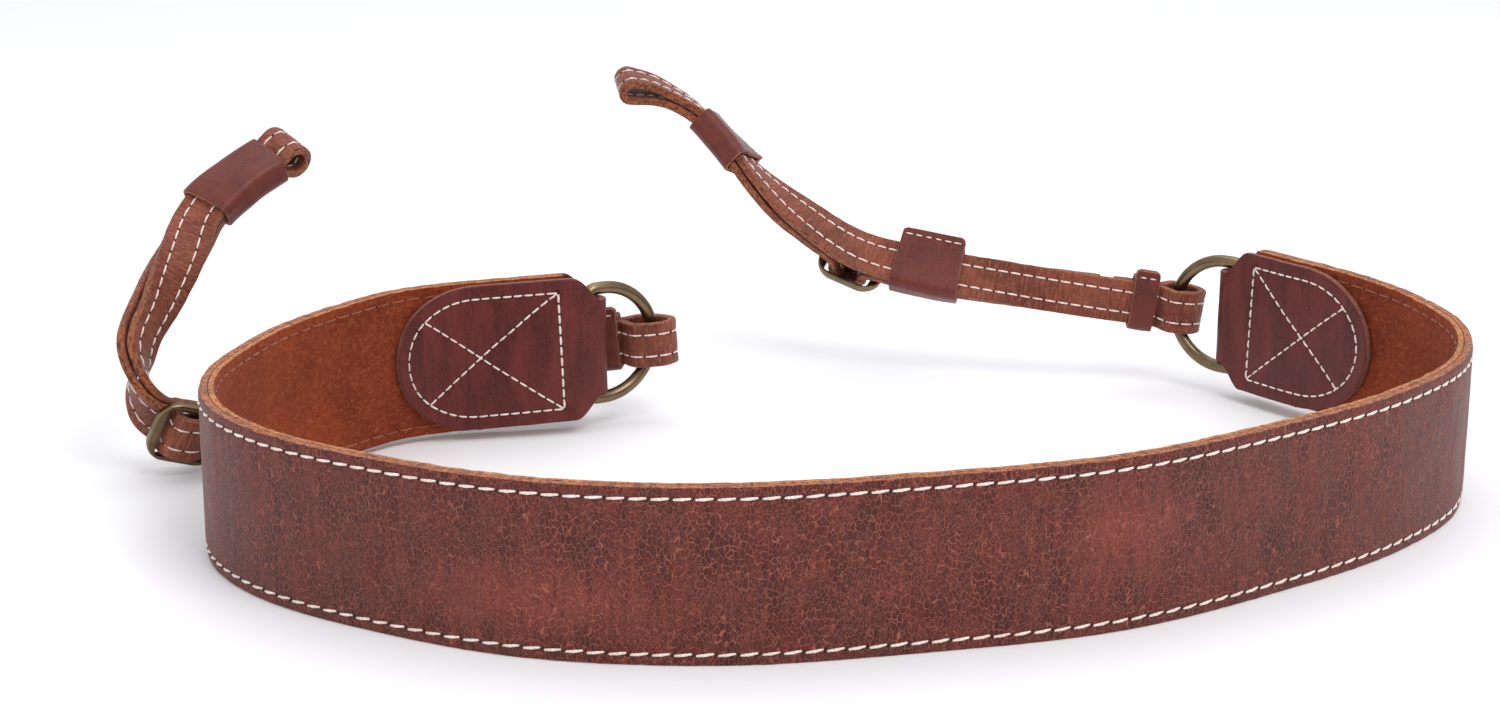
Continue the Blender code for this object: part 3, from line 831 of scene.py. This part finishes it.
def sew(lay, corners, pitch, height, cord, thread, slant=0.0, side=1):
    """Sew one row of stitches along a flat path, at height over the middle of the leather.

    cord is the thread's material, and thread is its thickness.
    """
    points, lengths, along = sewn_path(corners)
    count = max(1, round(lengths[-1] / pitch))
    step = lengths[-1] / count
    radius, half = thread / 2, step * THREAD_SHOWN / 2
    deselect()
    bpy.ops.mesh.primitive_uv_sphere_add(segments=8, ring_count=6, radius=radius * MM,
                                         location=(step / 2 * MM, 0, 0), rotation=(0, math.pi / 2, 0))
    stitch = bpy.context.object
    bpy.ops.object.transform_apply(location=True, rotation=True)
    places = read_places(stitch.data) / MM
    lean = places[:, 0] - step / 2
    places[:, 0] = step / 2 + lean + np.sign(np.round(lean, 4)) * (half - radius)
    lean = (places[:, 0] - step / 2) / half
    places[:, 1] += lean * half * math.tan(math.radians(slant))
    places[:, 2] += radius * (STITCH_RISE - STITCH_DIVE * lean ** 2)
    write_places(stitch.data, places * MM)
    dress(stitch, cord)
    # Each stitch takes a dark shape at its start: painted shade for the awl's slit.
    stitch = join([stitch, add_slit_shade(thread)])
    row = stitch.modifiers.new("Row", "ARRAY")
    row.count = count
    row.use_relative_offset = False
    row.use_constant_offset = True
    row.constant_offset_displace = (step * MM, 0, 0)
    apply_modifiers(stitch)
    flat = remember_flat(stitch)
    a, w = between(flat[:, 0], lengths, points).T
    turn = unit(between(flat[:, 0], lengths, along))
    past = flat[:, 0] - np.clip(flat[:, 0], 0.0, lengths[-1])
    a += turn[:, 0] * past - turn[:, 1] * flat[:, 1]
    w += turn[:, 1] * past + turn[:, 0] * flat[:, 1]
    write_places(stitch.data, lay.place(a, w, (height + flat[:, 2]) * side))
    return stitch


def join(pieces):
    """Join pieces into one object."""
    pick(pieces[0])
    for piece in pieces[1:]:
        piece.select_set(True)
    bpy.ops.object.join()
    return pieces[0]


def right_side_out(piece):
    """Turn a closed piece's faces outwards."""
    open_all(piece)
    bpy.ops.mesh.normals_make_consistent(inside=False)
    shut()


def lay_down(piece, flat, lay, name, stands_for):
    """Bend a flat piece along its lay, and finish it."""
    write_places(piece.data, lay.place(*flat.T))
    right_side_out(piece)
    finish_piece(piece, name, stands_for)


# ---- The wide band ----

def row_places(length, spacing):
    return np.linspace(0.0, length, max(2, round(length / spacing)) + 1)


def make_band(run):
    """The band's grain face and its suede lining, sewn together along both edges."""
    start, end = run.places["left end"], run.places["right end"]
    half = BAND_WIDTH / 2
    rows = edge_rows(end - start, half - BAND_SEAM)
    sewing = []
    for names, grain, leather, columns, slot, materials, thread in (
            (("band_face", "band_outer", "band_stitches"), 1, FACE_LEATHER, FACE_COLUMNS,
             "Waxed grain leather", (COWHIDE, FACE_EDGE), (CREAM_THREAD, THREAD, BAND_SLANTS)),
            (("band_suede", "band_lining", "band_back_stitches"), -1, LINING_LEATHER, LINING_COLUMNS,
             "Suede lining leather", (SUEDE, LINING_EDGE), (TAN_THREAD, THIN_THREAD, (0.0, 0.0)))):
        middle = grain * (GAP + leather) / 2
        lay = Lay(run, [(start, middle), (end, middle)], grain)
        places = row_places(lay.length, BAND_ROW)
        strip = cut_strip(places, half, columns, leather, BAND_BREAK, materials)
        flat = remember_flat(strip)
        for row in rows:
            press_seam(flat, row, BAND_PITCH, both_sides=False)
        top = flat[:, 2] > 0
        rim = fray_rims(flat, half, BAND_RIM, BAND_RIM_UNEVEN)
        flat[top, 2] += wobble(flat[top] * (1.0, 0.45, 0.0), FACE_UNEVEN)
        flat[:, 2] -= rim * np.where(top, RIM_PRESS, GAP / 2 - 0.01)
        lay_down(strip, flat, lay, names[0], names[1])
        sewing.append((names[2], slot, lay, leather / 2 - SEAM_PRESS, *thread))
    for name, slot, lay, height, cord, thickness, slants in sewing:
        stitches = join([sew(lay, row, BAND_PITCH, height, cord, thickness, slant)
                         for row, slant in zip(rows, slants)])
        finish_piece(stitches, name)


# ---- The end tabs ----

def tab_half_width(u, straight):
    """Half the tab's width at u outwards from the band's end."""
    full, neck = TAB_WIDTH / 2, TAB_NECK / 2
    if u < -straight:
        return full * math.sqrt(max(0.0, 1 - ((u + straight) / TAB_LOBE) ** 2))
    start, end = TAB_SHOULDER
    return full + (neck - full) * smooth(min(max((u - start) / (end - start), 0.0), 1.0))


def make_tab(side, outwards, run):
    """One leather tab: a lobe on the lining, a fold through the ring, a lobe on the face."""
    end = run.places[side + " end"]
    inner = -(1.5 * GAP + LINING_LEATHER + TAB_LEATHER / 2)
    outer = 1.5 * GAP + FACE_LEATHER + TAB_LEATHER / 2
    radius = (outer - inner) / 2
    bend = TAB_FOLD - radius - TAB_LEATHER / 2
    straight = TAB_STRAIGHT[side]
    tip = -straight - TAB_LOBE
    line = level(tip, bend, inner) + arc((bend, (inner + outer) / 2), (radius, radius), -90, 90, 24)
    line += reversed(level(tip, bend, outer))
    lay = Lay(run, [(end + outwards * u, n) for u, n in line], grain=-outwards)
    lobe = arc((-straight, 0), (TAB_LOBE, 1), 178, 90, 24) + level(-straight, TAB_SHOULDER[0], 0, 2.0)
    edge = [(u - tip, tab_half_width(u, straight)) for u, _ in lobe + level(*TAB_SHOULDER, 0, 0.6)]
    edge += [(lay.length - a, w) for a, w in reversed(edge)]
    outline = edge + [(a, -w) for a, w in reversed(edge)]
    along = np.arange(TAB_SLICE, lay.length - TAB_SLICE / 2, TAB_SLICE)
    across = np.arange(-TAB_WIDTH / 2 + TAB_SLICE, TAB_WIDTH / 2, TAB_SLICE)
    panel = cut_panel(outline, TAB_LEATHER, TAB_BREAK, along, across, (CALF, TAB_EDGE))
    flat = remember_flat(panel)
    seams = tab_seams(lay, straight)
    for seam in seams:
        press_seam(flat, seam, TAB_PITCH, depth=TAB_PRESS)
    top = flat[:, 2] > 0
    flat[top, 2] += wobble(flat[top] * (1.0, 0.7, 0.0), TAB_UNEVEN)
    lay_down(panel, flat, lay, "tab_" + side, "end_tab_" + side)
    height = TAB_LEATHER / 2 - TAB_SINK
    thread = join([sew(lay, seam, TAB_PITCH, height, CREAM_THREAD, FINE_THREAD) for seam in seams])
    finish_piece(thread, "tab_stitches_" + side)


def tab_seams(lay, straight):
    """A tab's sewing on both of its lobes: round the edge, across by the band's end, and a cross."""
    half = TAB_WIDTH / 2 - TAB_SEAM
    lobe = TAB_LOBE - TAB_SEAM
    near = straight + TAB_LOBE - TAB_END_SEAM
    round_edge = [(TAB_LOBE - lobe * math.sin(math.radians(t)), half * math.cos(math.radians(t)))
                  for t in range(0, 181, 6)]
    reach = TAB_LOBE - lobe * CROSS_REACH
    crosses = [[(near, w), (reach, -w * CROSS_REACH)] for w in (half, -half)]
    seams = [[(near, half), *round_edge, (near, -half)], [(near, half), (near, -half)], *crosses]
    return seams + [[(lay.length - a, w) for a, w in seam] for seam in seams]


# ---- The metal ----

def make_ring(side, run):
    """One D ring of round wire, with its straight bar in the tab's fold."""
    bar, _, outer_side, width = (part[0] for part in run.frame(run.places[side + " bar"]))
    bar = bar + outer_side * (FACE_LEATHER - LINING_LEATHER) / 2
    far = run.frame(run.places[side + " ring"])[0][0]
    out = unit((far - bar) - width * np.dot(far - bar, width))
    through = np.cross(out, width)
    half = (RING_INSIDE + RING_WIRE) / 2
    centreline = arc((RING_LEG, 0), (half, half), -90, 90, 60)
    for corner, start in ((half - RING_CORNER, 90), (RING_CORNER - half, 180)):
        centreline += arc((RING_CORNER, corner), (RING_CORNER,) * 2, start, start + 90, 12)
    points, lengths, along = sewn_path(centreline + centreline[:1], 0.5)
    deselect()
    thin = 0.25
    bpy.ops.mesh.primitive_torus_add(major_segments=160, minor_segments=16, minor_radius=thin)
    ring = bpy.context.object
    torus = read_places(ring.data)
    share = (np.arctan2(torus[:, 1], torus[:, 0]) / (2 * math.pi)) % 1.0
    out_from = (np.hypot(torus[:, 0], torus[:, 1]) - 1.0) / thin * RING_WIRE / 2
    up_from = torus[:, 2] / thin * RING_WIRE / 2
    middle = between(share * lengths[-1], lengths, points)
    heading = unit(between(share * lengths[-1], lengths, along))
    x, y = middle[:, 0] + heading[:, 1] * out_from, middle[:, 1] - heading[:, 0] * out_from
    write_places(ring.data, (bar + x[:, None] * out + y[:, None] * width + up_from[:, None] * through) * MM)
    right_side_out(ring)
    dress(ring, BRASS)
    finish_piece(ring, "d_ring_" + side, "ring_" + side)


def rounded_block(half_x, half_y, half_z, corner, middle_x=0.0):
    """A block whose upright edges are round."""
    deselect()
    bpy.ops.mesh.primitive_cube_add(size=2)
    block = bpy.context.object
    write_places(block.data, (read_places(block.data) * (half_x, half_y, half_z) + (middle_x, 0, 0)) * MM)
    bpy.ops.object.mode_set(mode="EDIT")
    bpy.ops.mesh.select_mode(type="EDGE")
    bpy.ops.mesh.select_all(action="DESELECT")
    shut()
    for edge in block.data.edges:
        ends = [block.data.vertices[i].co for i in edge.vertices]
        edge.select = abs(ends[0].z - ends[1].z) > half_z * MM
    bpy.ops.object.mode_set(mode="EDIT")
    bpy.ops.mesh.bevel(offset=corner * MM, segments=10, affect="EDGES")
    shut()
    return block


def make_slider(side, run, fit):
    """One three bar slider, flat and rigid, on the returning layer's side of the strap."""
    half_length = SLIDER_BAR / 2 + SLIDER_SLOT + SLIDER_RIM
    slot_middle = SLIDER_BAR / 2 + SLIDER_SLOT / 2
    slider = rounded_block(half_length, SLIDER_HEIGHT / 2, SLIDER_THICK / 2, SLIDER_CORNER)
    half_slot = SLIDER_HEIGHT / 2 - SLIDER_RAIL
    for middle in (slot_middle, -slot_middle):
        slot = rounded_block(SLIDER_SLOT / 2, half_slot, SLIDER_THICK, SLOT_CORNER, middle)
        cut = slider.modifiers.new("Slot", "BOOLEAN")
        cut.operation = "DIFFERENCE"
        cut.object = slot
        apply_modifiers(slider)
        bpy.data.objects.remove(slot)
    break_edge(slider, SLIDER_EDGE, 50)
    apply_modifiers(slider)
    height = -fit.facing * (STRAP_LEATHER + GAP / 2 + SLIDER_CLEAR + SLIDER_THICK / 2)
    middle, ahead, through, width = (part[0] for part in run.frame(run.places["slider"]))
    x, y, z = (read_places(slider.data) / MM).T[..., None]
    write_places(slider.data, (middle + ahead * x + width * y + through * (height + z)) * MM)
    right_side_out(slider)
    dress(slider, BRASS)
    finish_piece(slider, "strap_slider_" + side, "slider_" + side)


# ---- The narrow straps ----

def slider_weave(middle):
    """The returning layer's way over the slider's middle bar, in (s, n) towards the ring."""
    low = -(STRAP_LEATHER + GAP) / 2
    high = low - STRAP_LEATHER - SLIDER_THICK - SLIDER_CLEAR - GAP
    near, far = SLIDER_BAR / 2, SLIDER_BAR / 2 + SLIDER_SLOT
    turn = 2 * math.atan((low - high) / SLIDER_SLOT)
    radius = SLIDER_SLOT / (2 * math.sin(turn))
    swing = math.degrees(turn)
    up = arc((far, low - radius), (radius, radius), 90, 90 + swing, 14)[:-1]
    up += arc((near, high + radius), (radius, radius), swing - 90, -90, 14)
    down = [(-s, n) for s, n in reversed(up)]
    return [(middle + s, n) for s, n in up + down]


def strap_line(run, fit):
    """The narrow strap's middle surface in (s, n), from its short end to its free end."""
    pitch = (STRAP_LEATHER + GAP) / 2
    lug, slack = run.places["lug"], fit.slack
    ring_opening, lug_opening = fit.ring_opening, fit.lug_opening
    opened, pinched = fit.ring_close
    line = level(SHORT_END, pinched, -pitch)
    line += ease(pinched, opened, -pitch, -ring_opening)
    line += arc((opened, 0), (opened + fit.ring_fold, ring_opening), -90, -270, 40)[:-1]
    line += ease(opened, pinched, ring_opening, pitch)
    loop = lug - lug_opening
    closed = loop - fit.lug_close
    line += level(pinched, closed, pitch)
    line += ease(closed, loop, pitch, lug_opening)
    line += arc((loop, 0), (lug_opening, lug_opening), 90, -90, 32)[:-1]
    line += ease(loop, closed, -lug_opening, -pitch)
    weave = slider_weave(run.places["slider"])
    slack_start = run.places["lug keeper"] - fit.lug_keeper / 2 - SLACK_CLEAR
    slack_end = weave[0][0] + SLIDER_RIM + SLACK_CLEAR
    slack_middle = (slack_start + slack_end) / 2
    line += level(closed, slack_start, -pitch)
    line += ease(slack_start, slack_middle, -pitch, -pitch - slack)
    line += ease(slack_middle, slack_end, -pitch - slack, -pitch)
    line += level(slack_end, weave[0][0], -pitch)
    line += weave
    line += level(weave[-1][0], TAIL_END, -pitch)[1:] + [(TAIL_END, -pitch)]
    return [(s, n * fit.facing) for s, n in line]


def make_strap(side, fit):
    """One narrow strap, sewn along both edges, with its slider and its keepers."""
    run = Run(fit.rows, FRONT)
    lay = Lay(run, strap_line(run, fit), grain=fit.facing)
    half = STRAP_WIDTH / 2
    places = row_places(lay.length, STRAP_ROW)
    strip = cut_strip(places, half, STRAP_COLUMNS, STRAP_LEATHER, STRAP_BREAK, (LATIGO, STRAP_EDGE))
    flat = remember_flat(strip)
    rows = edge_rows(lay.length, half - STRAP_SEAM)
    for row in rows:
        press_seam(flat, row, STRAP_PITCH, depth=STRAP_PRESS)
    fray_rims(flat, half, STRAP_RIM, STRAP_RIM_UNEVEN)
    flat[:, 2] += np.sign(flat[:, 2]) * wobble(flat * (1.0, 0.4, 1.0), STRAP_UNEVEN)
    lay_down(strip, flat, lay, "narrow_strap_" + side, "lug_strap_" + side)
    pressed = STRAP_LEATHER / 2 - STRAP_PRESS
    thread = join([sew(lay, row, STRAP_PITCH, pressed, CREAM_THREAD, FINE_THREAD, side=face)
                   for row in rows for face in (1, -1)])
    finish_piece(thread, "strap_stitches_" + side)
    make_slider(side, run, fit)
    tail, lug = run.places["tail keeper"], run.places["lug keeper"]
    make_keeper("ring_keeper_" + side, run, *fit.ring_keeper)
    make_keeper("tail_keeper_" + side, run, tail - TAIL_KEEPER / 2, tail + TAIL_KEEPER / 2)
    make_keeper("lug_keeper_" + side, run, lug - fit.lug_keeper / 2, lug + fit.lug_keeper / 2,
                fin_behind=side == "left")


def keeper_girth(fin, fin_behind):
    """The middle of a keeper's leather round the strap's layers, in (w, n), from its fin back to it.

    The fin stands off the upper edge, or off the back where fin_behind is true.
    """
    half_w = STRAP_WIDTH / 2 + KEEPER_FIT + KEEPER_LEATHER / 2
    half_n = STRAP_LEATHER + GAP / 2 + KEEPER_FIT + KEEPER_LEATHER / 2
    corner, crease = (KEEPER_CORNER,) * 2, (KEEPER_LEATHER / 2,) * 2
    upper, front = half_w - KEEPER_CORNER, half_n - KEEPER_CORNER
    if fin_behind:
        inner, foot = half_w - KEEPER_LEATHER, half_n + crease[1]
        line = [(inner, half_n + fin), (inner, foot)]
        line += arc((inner - crease[0], foot), crease, 0, -90, 6)
        line += level(inner - crease[0], -upper, half_n)[1:]
        last = [(half_w, half_n), (half_w, half_n + fin)]
    else:
        near = half_n - KEEPER_LEATHER
        line = [(half_w + fin, half_n), (half_w, half_n)] + level(half_w, -upper, half_n)[1:]
        last = arc((half_w + crease[0], near - crease[1]), crease, 180, 90, 6) + [(half_w + fin, near)]
    line += arc((-upper, front), corner, 90, 180, 8) + arc((-upper, -front), corner, 180, 270, 8)
    line += level(-upper, upper, -half_n)[1:] + arc((upper, -front), corner, 270, 360, 8)
    return line + last


def make_keeper(node_name, run, start, end, fin_behind=False):
    """One keeper: a strip wrapped round both layers, its two ends together as a fin, sewn unless the fin
    stands behind.
    """
    fin = KEEPER_LEATHER / 2 + FIN_HEIGHT
    lay = Sleeve(run, [(w, -n) for w, n in keeper_girth(fin, fin_behind)], (start + end) / 2)
    half = (end - start) / 2
    girth = row_places(lay.length, KEEPER_ROW)
    missing = [max(0.0, 1 - a / KEEPER_END_CORNER) for a in girth]
    round_off = [half - KEEPER_END_CORNER * (1 - math.sqrt(1 - m ** 2)) for m in missing]
    half_widths = np.minimum(round_off, round_off[::-1])
    columns = max(8, round(2 * half / KEEPER_COLUMN))
    strip = cut_strip(girth, half_widths, columns, KEEPER_LEATHER, KEEPER_BREAK, (KIP, KEEPER_EDGE))
    flat = remember_flat(strip)
    crown = np.cos(np.clip(flat[:, 1] / half, -1, 1) * math.pi / 2)
    flat[:, 2] += KEEPER_CROWN * crown + wobble(flat, KEEPER_UNEVEN)
    lay_down(strip, flat, lay, "loop_" + node_name, node_name)
    if fin_behind:
        return
    height, foot, reach = KEEPER_LEATHER / 2 - KEEPER_SINK, fin * FIN_SEAM, half - KEEPER_SEAM
    rows = [[(a, -reach), (a, reach)] for a in (foot, lay.length - foot)]
    thread = join([sew(lay, row, KEEPER_PITCH, height, CREAM_THREAD, THIN_THREAD) for row in rows])
    finish_piece(thread, "loop_stitches_" + node_name)


# ---- The studio ----

def make_camera():
    """The view from where the photograph was taken."""
    eye = bpy.data.cameras.new("Photograph's view")
    eye.sensor_fit = "HORIZONTAL"
    eye.sensor_width = VIEW_SENSOR
    eye.lens = VIEW_LENS
    camera = bpy.data.objects.new("Photograph's view", eye)
    camera.location = Vector(VIEW_FROM) * MM
    camera.rotation_euler = (math.radians(90 - VIEW_PITCH), 0, 0)
    bpy.context.scene.collection.objects.link(camera)
    bpy.context.scene.camera = camera


def soft_light(name, place, aim, size, watts):
    """A square soft box at a place, aimed at a point."""
    lamp = bpy.data.lights.new(name, "AREA")
    lamp.size = size
    lamp.energy = watts
    light = bpy.data.objects.new(name, lamp)
    light.location = place
    light.rotation_euler = (Vector(aim) - Vector(place)).to_track_quat("-Z", "Y").to_euler()
    bpy.context.scene.collection.objects.link(light)


def make_studio():
    """White paper under soft boxes, in a white room."""
    deselect()
    bpy.ops.mesh.primitive_plane_add(size=12, location=(0, 2, 0))
    floor = bpy.context.object
    floor.name = "paper_sweep"
    floor.data.materials.append(seamless_paper())
    scene = bpy.context.scene
    scene.world = world = scene.world or bpy.data.worlds.new("White room")
    world.use_nodes = True
    white = world.node_tree.nodes["Background"]
    set_socket(white.inputs["Color"], "#fbfcff")
    set_socket(white.inputs["Strength"], ROOM_LIGHT)
    scene.view_settings.view_transform = "Standard"
    for box in SOFT_BOXES:
        soft_light(*box)


make_camera()
make_studio()

COWHIDE = band_leather()
CALF = tab_leather()
LATIGO = strap_leather()
KIP = keeper_leather()
SUEDE = suede()
FACE_EDGE = raw_edge("Raw edge of the face", "#cf7f44", "#984622", "#421809")
LINING_EDGE = raw_edge("Raw edge of the lining", "#e2964c", "#b15820", "#54220e")
TAB_EDGE = raw_edge("Raw edge of the tab", "#a55c38", "#803c25", "#3f180f")
STRAP_EDGE = raw_edge("Raw edge of the strap", "#b06534", "#823a1b", "#4a1d0c")
KEEPER_EDGE = raw_edge("Raw edge of the keeper", "#b96f44", "#8a4426", "#461b0d")
# Each thread's last colour is painted shade for the hollows between its strands.
CREAM_THREAD = waxed_thread("Waxed polyester thread, cream", "#fbf1e8", "#ecd6ca", "#b98e7c")
TAN_THREAD = waxed_thread("Waxed polyester thread, tan", "#a5623f", "#8a4a2e", "#5c2a1a")
# Dark shapes for the awl's slits: painted shade.
SLIT_SHADE = slit_shade_material()
BRASS = antique_brass()

band = Run(BAND_ROWS, UP, BAND_WIDTH / 2)
make_band(band)
for side_name, outward in (("left", -1), ("right", 1)):
    make_tab(side_name, outward, band)
    make_ring(side_name, band)
for side_name, fitting in STRAPS.items():
    make_strap(side_name, fitting)
